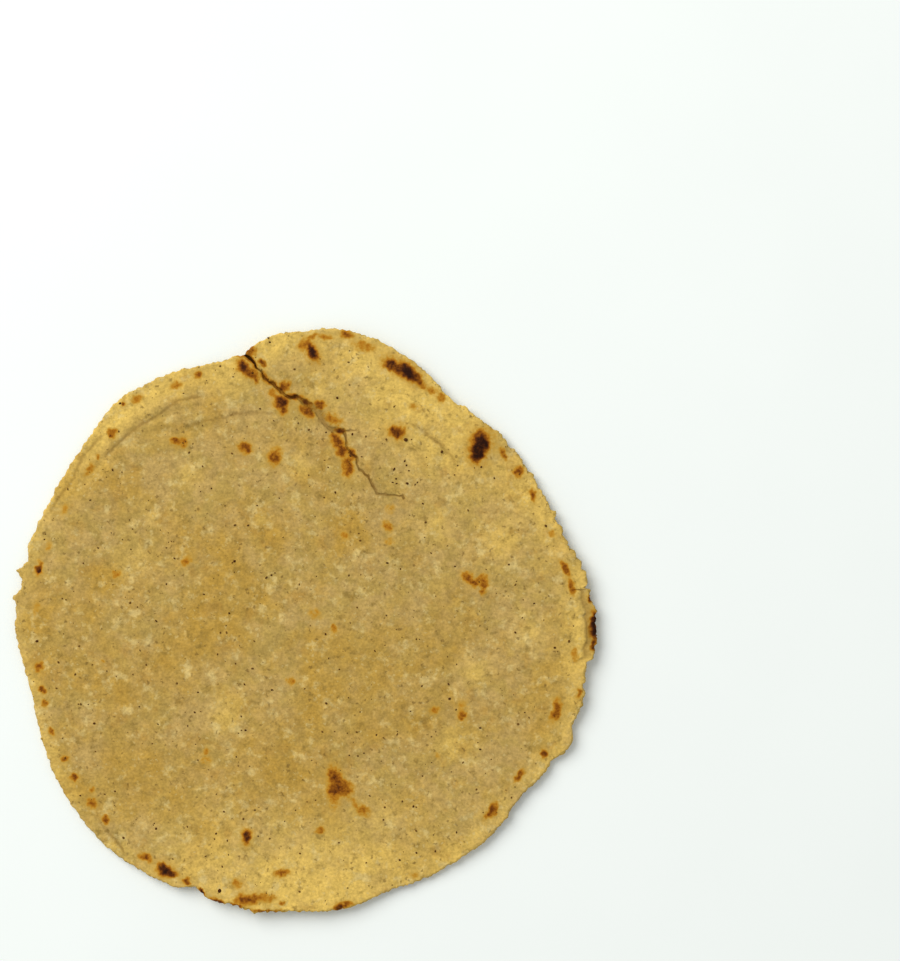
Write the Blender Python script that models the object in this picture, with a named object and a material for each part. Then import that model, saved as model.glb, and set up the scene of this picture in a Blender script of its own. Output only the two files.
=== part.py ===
"""A corn tortilla, about 150 mm across: one thin round of pressed and toasted maize dough.

It lies flat, with its better side up. +X points to the right, +Y away and +Z up, and the origin is
under the middle of its box. The middle of its underside is flat, its rim is thin, ragged and lifts
off here and there, and a crack runs in from the far side of the rim.
"""

import math

import bmesh
import bpy
import numpy as np
from mathutils import noise

# Driving dimensions, in millimetres and degrees. The last step of the making puts them in metres.
# Angles go round the disc from +X towards +Y.
MM = 0.001
MEAN_RADIUS = 74.0
ROUND_CENTRE = (-1.35, -1.7)
THICKNESS = 2.0
RIM_THICKNESS = 1.35
RIM_TAPER = 9.0
RIM_ROUNDING = 0.4

# Where the pressed dough spread further than its mean radius, or less far:
# angle, half width in degrees, height in millimetres.
RIM_SWELLS = (
    (10.5, 4.0, 0.7),
    (22.0, 7.0, -1.5),
    (38.0, 16.0, -2.5),
    (55.5, 6.5, -3.0),
    (81.5, 12.0, 3.8),
    (94.5, 3.5, 1.1),
    (106.5, 6.5, -2.3),
    (128.0, 6.0, 1.5),
    (152.0, 14.0, -1.3),
    (194.0, 10.5, -2.35),
    (228.0, 14.0, 1.6),
    (247.8, 2.3, -1.9),
    (268.0, 9.0, -0.6),
    (278.0, 36.0, -0.6),
    (289.0, 6.0, -1.7),
    (304.0, 12.0, -1.3),
    (322.0, 6.5, -2.2),
    (336.8, 2.8, 2.0),
    (345.0, 4.5, 1.3),
)
# Torn points and nicks of the rim, in the same terms.
RIM_NIBS = (
    (2.5, 0.5, -0.8),
    (8.1, 0.3, -1.2),
    (24.6, 0.6, 0.8),
    (26.0, 0.8, -0.6),
    (53.1, 1.2, 0.9),
    (102.0, 1.2, -0.9),
    (158.4, 0.9, 0.5),
    (166.0, 1.1, -1.2),
    (168.6, 0.5, 1.0),
    (171.3, 1.0, -0.8),
    (174.0, 0.9, 0.7),
    (256.6, 1.4, -0.6),
    (260.9, 0.9, 0.8),
    (265.9, 0.9, 0.6),
    (317.6, 0.8, 0.5),
    (332.0, 0.8, -0.5),
    (340.2, 0.9, -0.8),
    (355.8, 1.4, -0.9),
)
# Fine raggedness: waves to the turn and height in millimetres where the rim is most ragged. Their
# share elsewhere is the least one, and rises to 1 at these angles: angle, half width in degrees.
RIM_ROUGHNESS = ((23.0, 0.22), (61.0, 0.2), (139.0, 0.12))
LEAST_RAGGED = 0.3
RAGGED_STRETCHES = ((20.0, 42.0), (170.0, 12.0), (262.0, 9.0))
# Nibs, roughness and ledge fade inwards, and are gone at this share of the radius.
RAGGED_FROM = 0.85

# On the right the lower skin of the dough sticks out past the upper one, as a ledge: where it starts
# and ends, over how many degrees, how far it sticks out, and the step down to it. Towards its end
# its outer side is torn back.
LEDGE_START = -7.3
LEDGE_START_TAPER = 2.0
LEDGE_END = 8.1
LEDGE_END_TAPER = 0.3
LEDGE_REACH = 2.5
LEDGE_TORN_BACK = 1.3
LEDGE_TORN_FROM = 2.0
LEDGE_TORN_OVER = 4.5
LEDGE_DROP = 0.6
LEDGE_STEP_WIDTH = 0.6

# The underside is flat out to a share of the radius. Past it the rim lifts towards each of these
# angles: angle, half width in degrees, height in millimetres at the rim.
FLAT_SHARE = 0.62
RIM_LIFTS = (
    (262.0, 30.0, 3.0),
    (320.0, 26.0, 1.6),
    (5.0, 34.0, 3.0),
    (62.0, 30.0, 2.2),
    (100.0, 14.0, 1.6),
    (135.0, 20.0, 0.6),
    (178.0, 16.0, 0.7),
    (222.0, 14.0, 0.5),
)

# Waves of the upper face: size across and height. The share of them that is gone at the rim.
WAVES = ((30.0, 0.45), (11.0, 0.28), (5.5, 0.12))
WAVE_LOSS_AT_RIM = 0.5

# Blisters raised by the griddle: x, y, radius, height.
BLISTERS = (
    (1.6, 69.1, 3.0, 0.35),
    (27.0, 63.6, 3.4, 0.4),
    (45.0, 45.4, 4.2, 0.5),
    (23.5, 49.0, 2.4, 0.3),
    (-15.0, 64.6, 3.4, 0.35),
    (-5.8, 56.4, 2.6, 0.3),
    (43.5, 10.2, 4.0, 0.4),
    (9.4, -45.6, 4.6, 0.45),
    (14.6, -48.8, 2.6, 0.25),
    (-15.4, -55.6, 3.0, 0.35),
    (-30.9, 15.5, 3.0, 0.25),
    (40.5, -24.3, 2.6, 0.25),
    (-35.8, -64.4, 3.2, 0.35),
    (-15.2, -71.4, 3.0, 0.3),
    (-33.8, 46.6, 2.6, 0.25),
    (64.6, -23.0, 3.0, 0.3),
)

# Creases pressed in near the rim. Each runs round the disc: start and end angle, share of the
# radius at each end, depth. They fade over a share of their length at each end.
CREASES = (
    (115.0, 150.0, 0.86, 0.93, 0.35),
    (101.0, 141.0, 0.70, 0.91, 0.3),
    (43.0, 63.0, 0.80, 0.84, 0.3),
    (222.0, 232.0, 0.96, 0.95, 0.3),
)
CREASE_HALF_WIDTH = 1.4
CREASE_FADE = 1.0 / 6.0

# The crack, from outside the rim inwards, then its short side branch.
CRACK_ROUTE = (
    (-18.6, 70.6),
    (-14.6, 68.0),
    (-11.3, 64.0),
    (-9.6, 61.8),
    (-5.4, 58.4),
    (-0.1, 56.6),
    (4.1, 52.6),
    (6.6, 49.5),
    (9.8, 49.1),
    (10.6, 45.3),
    (13.3, 42.0),
    (14.0, 39.2),
    (16.9, 36.0),
    (18.8, 33.0),
    (22.6, 32.6),
    (25.4, 32.0),
)
SIDE_CRACK_ROUTE = ((9.2, 48.9), (11.6, 49.4), (13.8, 49.1))
CRACK_HALF_WIDTH = 0.55
CRACK_MOUTH_DEPTH = 2.6
CRACK_DEPTH = 1.0
CRACK_MOUTH_LENGTH = 7.0
CRACK_TAIL_SHARE = 0.35
CUTTER_CLEARANCE = 1.5
# The lobe on the crack's right side rides up over the left one near the rim.
LOBE_RISE = 1.0
LOBE_LENGTH = 24.0
LOBE_WIDTH = 13.0
LOBE_EDGE = 1.2

# The mesh: rings of the two six-sided fans before their rims are refined, and edge lengths.
UPPER_RINGS = 20
UNDER_RINGS = 10
RIM_EDGE = 1.5
EDGE_GROWTH = 0.6
WALL_ROWS = 1

FAN_SIDES = 6
FULL_TURN = 360.0
# Keeps a point on the border of two of the fan's sectors from falling into the wrong one.
SECTOR_SLACK = 1e-6

# Colour of the dough in linear light, and its finish.
DOUGH_COLOUR = (0.479, 0.319, 0.098, 1.0)
DOUGH_ROUGHNESS = 0.8


def clear_scene():
    for obj in list(bpy.data.objects):
        bpy.data.objects.remove(obj, do_unlink=True)


def turn_between(angles, centre):
    """Signed degrees from a centre angle, from -180 to 180."""
    return (angles - centre + FULL_TURN / 2) % FULL_TURN - FULL_TURN / 2


def bump(distances, half_width):
    return np.exp(-((distances / half_width) ** 2))


def ease(values):
    """0 below 0, 1 above 1 and a smooth step between."""
    t = np.clip(values, 0.0, 1.0)
    return t * t * (3.0 - 2.0 * t)


def ledge_share(angles):
    """1 along the ledge and 0 elsewhere, with short ends."""
    from_start = turn_between(angles, LEDGE_START)
    from_end = turn_between(angles, LEDGE_END)
    return ease(from_start / LEDGE_START_TAPER) * ease(-from_end / LEDGE_END_TAPER)


def swell_radius(angles):
    """Radius of the smooth outline that the ragged one follows."""
    radius = np.full_like(angles, MEAN_RADIUS)
    for centre, half_width, height in RIM_SWELLS:
        radius += height * bump(turn_between(angles, centre), half_width)
    return radius


def raggedness(angles):
    """Share of the fine raggedness that the rim has, from nearly smooth to 1."""
    share = np.full_like(angles, LEAST_RAGGED)
    for centre, half_width in RAGGED_STRETCHES:
        share = np.maximum(share, bump(turn_between(angles, centre), half_width))
    return share


def rim_detail(angles):
    """How far the ragged rim and its ledge stand out from the smooth outline."""
    torn_back = LEDGE_TORN_BACK * ease(turn_between(angles, LEDGE_TORN_FROM) / LEDGE_TORN_OVER)
    detail = (LEDGE_REACH - torn_back) * ledge_share(angles)
    for centre, half_width, height in RIM_NIBS:
        detail += height * bump(turn_between(angles, centre), half_width)
    for count, height in RIM_ROUGHNESS:
        detail += raggedness(angles) * height * np.sin(np.radians(angles) * count + count)
    return detail


def rim_lift(angles, shares):
    """Height of the underside: nought in the middle, rising in lobes to the rim."""
    lobes = np.zeros_like(angles)
    for centre, half_width, height in RIM_LIFTS:
        lobes = np.maximum(lobes, height * bump(turn_between(angles, centre), half_width))
    rise = np.clip((shares - FLAT_SHARE) / (1.0 - FLAT_SHARE), 0.0, 1.0)
    return lobes * rise ** 2


def waves(x, y):
    """Gentle unevenness of the upper face."""
    total = np.zeros_like(x)
    for layer, (size, height) in enumerate(WAVES):
        total += height * np.array([noise.noise((a / size, b / size, layer)) for a, b in zip(x, y)])
    return total


def blisters(x, y):
    total = np.zeros_like(x)
    for centre_x, centre_y, radius, height in BLISTERS:
        total += height * bump(np.hypot(x - centre_x, y - centre_y), radius)
    return total


def creases(angles, shares):
    """Shallow valleys that follow the rim."""
    total = np.zeros_like(angles)
    for start, end, start_share, end_share, depth in CREASES:
        along = (angles - start) / (end - start)
        inside = ease(along / CREASE_FADE) * ease((1.0 - along) / CREASE_FADE)
        line = start_share + (end_share - start_share) * np.clip(along, 0.0, 1.0)
        total -= depth * inside * bump((shares - line) * MEAN_RADIUS, CREASE_HALF_WIDTH)
    return total


def from_route(x, y, route):
    """Distance to a route, length along it, and side: positive on the right of its direction."""
    nearest = np.full_like(x, np.inf)
    along = np.zeros_like(x)
    side = np.zeros_like(x)
    travelled = 0.0
    for (x0, y0), (x1, y1) in zip(route, route[1:]):
        run_x, run_y = x1 - x0, y1 - y0
        length = math.hypot(run_x, run_y)
        t = np.clip(((x - x0) * run_x + (y - y0) * run_y) / length ** 2, 0.0, 1.0)
        distance = np.hypot(x - x0 - t * run_x, y - y0 - t * run_y)
        closer = distance < nearest
        nearest = np.where(closer, distance, nearest)
        along = np.where(closer, travelled + t * length, along)
        turned = (y - y0) * run_x - (x - x0) * run_y
        side = np.where(closer, np.sign(turned), side)
        travelled += length
    return nearest, along, side


def crack_lobe(x, y):
    """Rise of the lobe on the far side of the crack, steep at the crack and fading from it."""
    distance, along, side = from_route(x, y, CRACK_ROUTE)
    fading = ease(1.0 - along / LOBE_LENGTH) * ease(1.0 - distance / LOBE_WIDTH)
    step = 0.5 + 0.5 * np.clip(side * distance / LOBE_EDGE, -1.0, 1.0)
    return LOBE_RISE * fading * step


def placed(angles, reach, level):
    """Points of the tortilla at an angle and distance from its middle, on either face or between:
    level 0 is the underside and 1 the upper face."""
    x = ROUND_CENTRE[0] + reach * np.cos(np.radians(angles))
    y = ROUND_CENTRE[1] + reach * np.sin(np.radians(angles))
    smooth_radius = swell_radius(angles)
    from_rim = smooth_radius + rim_detail(angles) - reach
    thinning = ease(1.0 - from_rim / RIM_TAPER)
    thickness = THICKNESS + (RIM_THICKNESS - THICKNESS) * thinning
    on_ledge = ledge_share(angles) * ease((LEDGE_REACH - from_rim) / LEDGE_STEP_WIDTH + 1.0)
    shares = reach / smooth_radius
    relief = waves(x, y) * (1.0 - WAVE_LOSS_AT_RIM * thinning)
    relief += blisters(x, y) + creases(angles, shares) + crack_lobe(x, y)
    relief -= LEDGE_DROP * on_ledge
    z = rim_lift(angles, shares) + level * (thickness + relief)
    return np.column_stack((x, y, z))


def shaped(points):
    """Turns points of the unit slab, of radius 1 and height 1, into those of the tortilla."""
    unit_x, unit_y, level = points.T
    shares = np.hypot(unit_x, unit_y)
    angles = np.degrees(np.arctan2(unit_y, unit_x)) % FULL_TURN
    rounding = RIM_ROUNDING * (2.0 * level - 1.0) ** 2
    ragged = ease((shares - RAGGED_FROM) / (1.0 - RAGGED_FROM))
    reach = shares * (swell_radius(angles) - rounding) + ragged * rim_detail(angles)
    return placed(angles, reach, level)


def round_from_hexagon(point):
    """Moves a point of the unit hexagon to the unit disc: its ring stays, its sides become arcs."""
    sector_width = math.tau / FAN_SIDES
    angle = math.atan2(point.y, point.x) - math.pi / 2
    sector = math.floor(angle / sector_width + SECTOR_SLACK)
    within = angle - (sector + 0.5) * sector_width
    half_chord = math.tan(sector_width / 2)
    distance = math.hypot(point.x, point.y)
    ring = distance * math.cos(within) / math.cos(sector_width / 2)
    place = (math.tan(within) / half_chord + 1.0) / 2.0
    turned = (sector + place) * sector_width + math.pi / 2
    point.x = ring * math.cos(turned)
    point.y = ring * math.sin(turned)


def add_disc(bm, rings, level):
    """Adds a disc of near-equal triangles, finer towards its rim, at one level of the unit slab.

    It is made at level 0 and then moved, so the disc that stays at level 0 is added last.
    """
    bmesh.ops.create_circle(bm, cap_ends=True, cap_tris=True, segments=FAN_SIDES, radius=1.0)
    fan = [e for e in bm.edges if e.verts[0].co.z == 0.0]
    bmesh.ops.subdivide_edges(bm, edges=fan, cuts=rings - 1, use_grid_fill=True)
    for vert in bm.verts:
        if vert.co.z == 0.0:
            round_from_hexagon(vert.co)
            vert.co.z = level
    refine_rim(bm, level)


def longest_edge(share):
    """Edge length that suits a share of the radius, as a share of it too."""
    return RIM_EDGE / MEAN_RADIUS + EDGE_GROWTH * (1.0 - share)


def refine_rim(bm, level):
    """Halves edges near the rim until they are short, keeping the rim round."""
    while True:
        long_edges = []
        for edge in bm.edges:
            middle = (edge.verts[0].co + edge.verts[1].co) / 2
            share = math.hypot(middle.x, middle.y)
            if middle.z == level and edge.calc_length() > longest_edge(share):
                long_edges.append(edge)
        if not long_edges:
            return
        bmesh.ops.subdivide_edges(bm, edges=long_edges, cuts=1)
        bmesh.ops.triangulate(bm, faces=[f for f in bm.faces if len(f.verts) > 3])
        for vert in bm.verts:
            if vert.is_boundary:
                reach = math.hypot(vert.co.x, vert.co.y)
                vert.co.x /= reach
                vert.co.y /= reach


def unit_slab():
    """A closed slab of radius 1 and height 1, with a fine upper face and a coarser underside."""
    bm = bmesh.new()
    add_disc(bm, UPPER_RINGS, 1.0)
    add_disc(bm, UNDER_RINGS, 0.0)
    rims = [e for e in bm.edges if e.is_boundary]
    wall = bmesh.ops.bridge_loops(bm, edges=rims)
    uprights = {e for f in wall["faces"] for e in f.edges if e.verts[0].co.z != e.verts[1].co.z}
    bmesh.ops.subdivide_edges(bm, edges=list(uprights), cuts=WALL_ROWS)
    bmesh.ops.recalc_face_normals(bm, faces=bm.faces[:])
    return bm


def foot_of(points):
    """The place under the middle of the points' box, at their lowest level."""
    low, high = points.min(axis=0), points.max(axis=0)
    return np.array(((low[0] + high[0]) / 2, (low[1] + high[1]) / 2, low[2]))


def dough_material():
    material = bpy.data.materials.new("toasted_maize_dough")
    material.use_nodes = True
    shader = material.node_tree.nodes["Principled BSDF"]
    shader.inputs["Base Color"].default_value = DOUGH_COLOUR
    shader.inputs["Roughness"].default_value = DOUGH_ROUGHNESS
    shader.inputs["Metallic"].default_value = 0.0
    return material


def object_from(bm, name):
    mesh = bpy.data.meshes.new(name)
    bm.to_mesh(mesh)
    bm.free()
    obj = bpy.data.objects.new(name, mesh)
    bpy.context.scene.collection.objects.link(obj)
    return obj


def crack_wedge(name, route, mouth_depth, foot):
    """A tapering wedge along a route, point down, that cuts a crack out of the upper face.

    The foot is the place that the round is moved from to the origin, and the wedge with it.
    """
    corners = np.array(route)
    runs = np.gradient(corners, axis=0)
    runs /= np.linalg.norm(runs, axis=1)[:, None]
    travelled = np.concatenate(([0.0], np.cumsum(np.hypot(*np.diff(corners, axis=0).T))))
    share = travelled / travelled[-1]
    width = CRACK_HALF_WIDTH * (1.0 - (1.0 - CRACK_TAIL_SHARE) * share)
    deepening = ease(1.0 - travelled / CRACK_MOUTH_LENGTH)
    depth = CRACK_DEPTH * (1.0 - (1.0 - CRACK_TAIL_SHARE) * share)
    depth += (mouth_depth - CRACK_DEPTH) * deepening
    surface = upper_height(corners[:, 0], corners[:, 1])
    across = np.column_stack((-runs[:, 1], runs[:, 0]))
    top_width = width * (depth + CUTTER_CLEARANCE) / depth

    bm = bmesh.new()
    sections = []
    for at, out, half, low, high in zip(
        corners, across, top_width, surface - depth, surface + CUTTER_CLEARANCE
    ):
        left, right = at - out * half, at + out * half
        sections.append(
            [
                bm.verts.new((left[0] * MM, left[1] * MM, high * MM)),
                bm.verts.new((right[0] * MM, right[1] * MM, high * MM)),
                bm.verts.new((at[0] * MM, at[1] * MM, low * MM)),
            ]
        )
    for near, far in zip(sections, sections[1:]):
        for i in range(3):
            j = (i + 1) % 3
            bm.faces.new((near[i], near[j], far[j], far[i]))
    bm.faces.new(sections[0])
    bm.faces.new(sections[-1])
    bmesh.ops.recalc_face_normals(bm, faces=bm.faces[:])
    bmesh.ops.translate(bm, verts=bm.verts[:], vec=-foot * MM)
    wedge = object_from(bm, name)
    wedge.hide_render = True
    wedge.display_type = "WIRE"
    return wedge


def upper_height(x, y):
    """Height of the upper face at plan positions."""
    angles = np.degrees(np.arctan2(y - ROUND_CENTRE[1], x - ROUND_CENTRE[0])) % FULL_TURN
    reach = np.hypot(x - ROUND_CENTRE[0], y - ROUND_CENTRE[1])
    return placed(angles, reach, np.ones_like(x))[:, 2]


def make_tortilla():
    bm = unit_slab()
    unit = np.array([v.co for v in bm.verts])
    points = shaped(unit)
    foot = foot_of(points)
    for vert, point in zip(bm.verts, (points - foot) * MM):
        vert.co = point
    tortilla = object_from(bm, "tortilla")
    tortilla.data.materials.append(dough_material())
    tortilla.data.shade_smooth()
    for name, route, mouth_depth in (
        ("crack_cutter", CRACK_ROUTE, CRACK_MOUTH_DEPTH),
        ("side_crack_cutter", SIDE_CRACK_ROUTE, CRACK_DEPTH),
    ):
        cut = tortilla.modifiers.new(name, "BOOLEAN")
        cut.operation = "DIFFERENCE"
        cut.solver = "EXACT"
        cut.object = crack_wedge(name, route, mouth_depth, foot)
    return tortilla


def main():
    clear_scene()
    make_tortilla()


if __name__ == "__main__":
    main()
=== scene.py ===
"""Gives a corn tortilla its looks: the toasted round, its hull flecks, crumbs and stage.

It is laid out as an add-on and run as a script. Tables are in millimetres and degrees, in the
frame of the model: +X to the right, +Y away, +Z up, angles from +X towards +Y. Settings are in
metres.
"""

import math
import random

import bmesh
import bpy
import numpy as np
from bpy.props import FloatProperty, FloatVectorProperty, IntProperty, PointerProperty
from bpy.types import Operator, Panel, PropertyGroup
from mathutils import Euler, Matrix, Vector, noise


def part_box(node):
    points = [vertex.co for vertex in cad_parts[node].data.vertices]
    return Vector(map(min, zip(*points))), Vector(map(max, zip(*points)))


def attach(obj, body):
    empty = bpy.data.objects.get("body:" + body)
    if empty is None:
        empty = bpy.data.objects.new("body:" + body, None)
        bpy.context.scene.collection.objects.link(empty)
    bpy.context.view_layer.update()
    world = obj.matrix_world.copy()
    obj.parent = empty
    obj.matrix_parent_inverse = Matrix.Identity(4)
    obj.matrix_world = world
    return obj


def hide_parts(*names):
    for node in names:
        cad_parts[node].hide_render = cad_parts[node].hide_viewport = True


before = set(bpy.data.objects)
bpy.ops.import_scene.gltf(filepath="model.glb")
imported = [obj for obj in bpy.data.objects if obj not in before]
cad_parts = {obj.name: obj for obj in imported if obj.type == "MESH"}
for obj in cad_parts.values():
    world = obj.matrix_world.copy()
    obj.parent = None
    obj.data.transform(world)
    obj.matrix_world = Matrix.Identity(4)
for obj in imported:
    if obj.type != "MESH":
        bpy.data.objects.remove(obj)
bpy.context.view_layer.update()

bl_info = {
    "name": "Toasted Corn Tortilla",
    "version": (1, 0, 0),
    "blender": (4, 5, 0),
    "location": "3D View > Sidebar > Tortilla",
    "description": "Models a corn tortilla with its relief, toasted spots, hull flecks and stage",
    "category": "Object",
}

NODE = "tortilla"
BODY = "root"

MM = 0.001
FULL_TURN = 360.0

# Layers of the one random field, one for each pattern, so that none repeats another.
WAVE_LAYER, CRACK_LAYER, CREASE_LAYER, MARK_LAYERS = 0.0, 11.0, 21.0, (31.0, 41.0)
CRUMBLE_LAYER, GRAIN_LAYER, DIMPLE_LAYER, CROWDING_LAYER = 51.0, 61.0, 71.0, 81.0

# The round: where its middle lies, and how it thins and rounds off at the rim.
ROUND_CENTRE = (-1.35, -1.7)
RIM_TAPER = 9.0
RIM_ROUNDING = 0.4
THINNEST = 0.15

# Where the pressed dough spread further than its mean radius, or less far: angle, half width and
# height.
RIM_SWELLS = (
    (10.5, 4, 0.7), (22, 7, -1.5), (38, 16, -2.5), (55.5, 6.5, -3), (81.5, 12, 3.8),
    (94.5, 3.5, 1.1), (106.5, 6.5, -2.3), (128, 6, 1.5), (152, 14, -1.3), (194, 10.5, -2.35),
    (228, 14, 1.6), (247.8, 2.3, -1.9), (268, 9, -0.6), (278, 36, -0.6), (289, 6, -1.7),
    (304, 12, -1.3), (322, 6.5, -2.2), (336.8, 2.8, 2), (345, 4.5, 1.3),
)
# Torn points and nicks of the rim, in the same terms.
RIM_NIBS = (
    (2.5, 0.5, -0.8), (8.1, 0.3, -1.2), (24.6, 0.6, 0.8), (26, 0.8, -0.6), (53.1, 1.2, 0.9),
    (102, 1.2, -0.9), (158.4, 0.9, 0.5), (166, 1.1, -1.2), (168.6, 0.5, 1), (171.3, 1, -0.8),
    (174, 0.9, 0.7), (256.6, 1.4, -0.6), (260.9, 0.9, 0.8), (265.9, 0.9, 0.6), (317.6, 0.8, 0.5),
    (332, 0.8, -0.5), (340.2, 0.9, -0.8), (355.8, 1.4, -0.9),
)
# Fine raggedness, as waves to the turn and height, then as crumbs: size and height. Their share is
# the least one away from these angles, and rises to 1 at them: angle, half width.
RIM_ROUGHNESS = ((23, 0.22), (61, 0.2), (139, 0.12))
LEAST_RAGGED = 0.3
RAGGED_STRETCHES = ((20, 42), (170, 12), (262, 9))
RIM_CRUMBLE = ((1.9, 0.34), (1, 0.7), (0.5, 0.3))
CRUMBLE_BAND = 0.03
LEAST_CRUMBLED = 0.42
# How far the crumbs' pattern slides from the underside to the upper face.
CRUMBLE_SLANT = 1.7
# Nibs, roughness and ledge fade inwards, and are gone at this share of the radius.
RAGGED_FROM = 0.85

# The ledge on the right, where the lower skin sticks out past the upper one. Towards its end its
# outer side is torn back.
LEDGE_START = -7.3
LEDGE_START_TAPER = 2.0
LEDGE_END = 8.1
LEDGE_END_TAPER = 0.3
LEDGE_REACH = 2.5
LEDGE_TORN_BACK = 1.3
LEDGE_TORN_FROM = 2.0
LEDGE_TORN_OVER = 4.5
LEDGE_DROP = 0.6
LEDGE_STEP_WIDTH = 0.6
LEDGE_SHADE = 0.5

# The underside is flat out to a share of the radius, then lifts: angle, half width, height.
FLAT_SHARE = 0.62
RIM_LIFTS = (
    (262, 30, 3), (320, 26, 1.6), (5, 34, 3), (62, 30, 2.2), (100, 14, 1.6), (135, 20, 0.6),
    (178, 16, 0.7), (222, 14, 0.5),
)

# Unevenness of the upper face: size across and height. The finest is the grain of the masa.
WAVES = ((30, 0.45), (11, 0.28), (5.5, 0.12))
GRAIN = ((2.6, 0.07), (1.25, 0.05))
WAVE_LOSS_AT_RIM = 0.5
# Dimples of the underside, which only go inwards, so that it still lies flat.
DIMPLES = ((6, 0.22), (1.6, 0.07))

# Blisters raised by the griddle: x, y, radius, height.
BLISTERS = (
    (1.6, 69.1, 3, 0.35), (27, 63.6, 3.4, 0.4), (45, 45.4, 4.2, 0.5), (23.5, 49, 2.4, 0.3),
    (-15, 64.6, 3.4, 0.35), (-5.8, 56.4, 2.6, 0.3), (43.5, 10.2, 4, 0.4), (9.4, -45.6, 4.6, 0.45),
    (14.6, -48.8, 2.6, 0.25), (-15.4, -55.6, 3, 0.35), (-30.9, 15.5, 3, 0.25),
    (40.5, -24.3, 2.6, 0.25), (-35.8, -64.4, 3.2, 0.35), (-15.2, -71.4, 3, 0.3),
    (-33.8, 46.6, 2.6, 0.25), (64.6, -23, 3, 0.3),
)

# Shallow valleys that follow the rim: start and end angle, share of the radius at each end, depth.
VALLEYS = (
    (115, 150, 0.86, 0.93, 0.35), (101, 141, 0.70, 0.91, 0.3), (43, 63, 0.80, 0.84, 0.3),
    (222, 232, 0.96, 0.95, 0.3),
)
VALLEY_HALF_WIDTH = 1.4
VALLEY_FADE = 1.0 / 6.0

# Fine crease lines: darkness of their painted shade from 0 to 1, then the points that each passes.
CREASE_LINES = (
    (0.65, ((-26.3, 58.3), (-33.3, 56.9), (-38.2, 53.2), (-43.5, 50.2), (-50.2, 44.4),
            (-52.6, 41.8))),
    (0.6, ((-51.6, 48.6), (-54.3, 46.2), (-57.9, 42), (-60.5, 36.1), (-63.8, 32), (-66.5, 27))),
    (0.55, ((-7.4, 53.5), (-12, 53.8), (-18, 53.6), (-21.7, 52.3), (-25.3, 51.9), (-31, 50))),
    (0.6, ((25.8, 51.7), (30.4, 49.1), (33.8, 46.2), (37.2, 43.1), (39, 40.3))),
    (0.35, ((16.2, 46.5), (19.3, 45.7))),
    (0.4, ((25.5, 45.5), (28.6, 43.6), (31, 41.3))),
    (0.6, ((-54.5, -50.6), (-50.9, -54.5), (-48.3, -57.4), (-46, -61))),
    (0.8, ((73.6, 8.9), (71.4, 8.7))),
)
CREASE_HALF_WIDTH = 0.42
CREASE_DEPTH = 0.2
CREASE_ENDS = 2.0
# How their strength comes and goes: size, mean and swing.
CREASE_BREAKS = (4.0, 0.75, 0.5)

# The crack from outside the rim inwards, its side branch, and its profile: length along it, half
# width, depth, and darkness of its walls: painted shade of the gap and the fold beside it, partly
# the real brown of its torn walls.
CRACK_ROUTE = (
    (-18.6, 70.6), (-17.2, 69), (-15.9, 68.9), (-14.6, 68), (-13.8, 67.3), (-13.1, 66.6),
    (-12.5, 65.3), (-11.3, 64), (-10.5, 62.7), (-9.6, 61.8), (-8, 61), (-7.3, 60.2), (-6.3, 59.4),
    (-5.4, 58.4), (-3.8, 57.7), (-2.4, 58.1), (-1.2, 57.3), (-0.1, 56.6), (1.1, 55.7), (2.6, 54.6),
    (4.1, 52.6), (4.9, 50.6), (6.7, 49.5), (8.7, 49.4), (9.7, 49.3), (10.4, 47.4), (10.5, 45.3),
    (11.5, 43.5), (13.2, 42.3), (13.4, 39.9), (14.9, 38.4), (16.2, 37.1), (16.8, 36), (17.5, 34.5),
    (18.5, 33), (20.1, 32.7), (22.6, 32.6), (24.8, 32.4), (25.4, 31.7),
)
SIDE_CRACK_ROUTE = ((9.4, 49.2), (10, 49.1), (12.3, 49.4), (13.6, 49.1))
CRACK_PROFILE = (
    (0, 0.4, 2.6, 1), (3, 0.26, 2.2, 0.95), (7, 0.25, 1.5, 0.8), (11, 0.28, 0.9, 0.6),
    (16, 0.45, 0.6, 0.6), (20, 0.42, 0.6, 0.8), (24, 0.7, 0.5, 0.62), (27, 1.1, 0.5, 0.5),
    (34, 0.9, 0.4, 0.5), (37, 0.36, 0.35, 0.75), (46, 0.36, 0.3, 0.7), (55, 0.36, 0.28, 0.8),
    (63, 0.26, 0.2, 0.65),
)
SIDE_CRACK_PROFILE = ((0, 0.3, 0.4, 0.6), (4.3, 0.2, 0.15, 0.3))
# How it wanders and widens: size and reach of each. Its slopes and its shade, in half widths.
CRACK_WANDER = (1.3, 0.35)
CRACK_WIDENING = (1.7, 0.7)
CRACK_STEEPNESS = 1.6
CRACK_SHADE_REACH = 1.5
# Its banks are toasted near the rim: tone, half width, how far in it goes before it fades, and how
# it comes and goes: size, mean and swing.
SINGED_TONE = 0.56
SINGED_HALF_WIDTH = 1.05
SINGED_LENGTH = 14.0
SINGED_BREAKS = (2.6, 0.75, 1.2)
# The lobe on the crack's right side rides up over the left one near the rim.
LOBE_RISE = 1.0
LOBE_LENGTH = 24.0
LOBE_WIDTH = 13.0
LOBE_EDGE = 0.8

# How far a mark is toasted, from faint gold to charred.
FAINT, ORANGE, RUSSET, BROWN, DARK, CHAR = 0.3, 0.46, 0.56, 0.66, 0.86, 1.0
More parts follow.
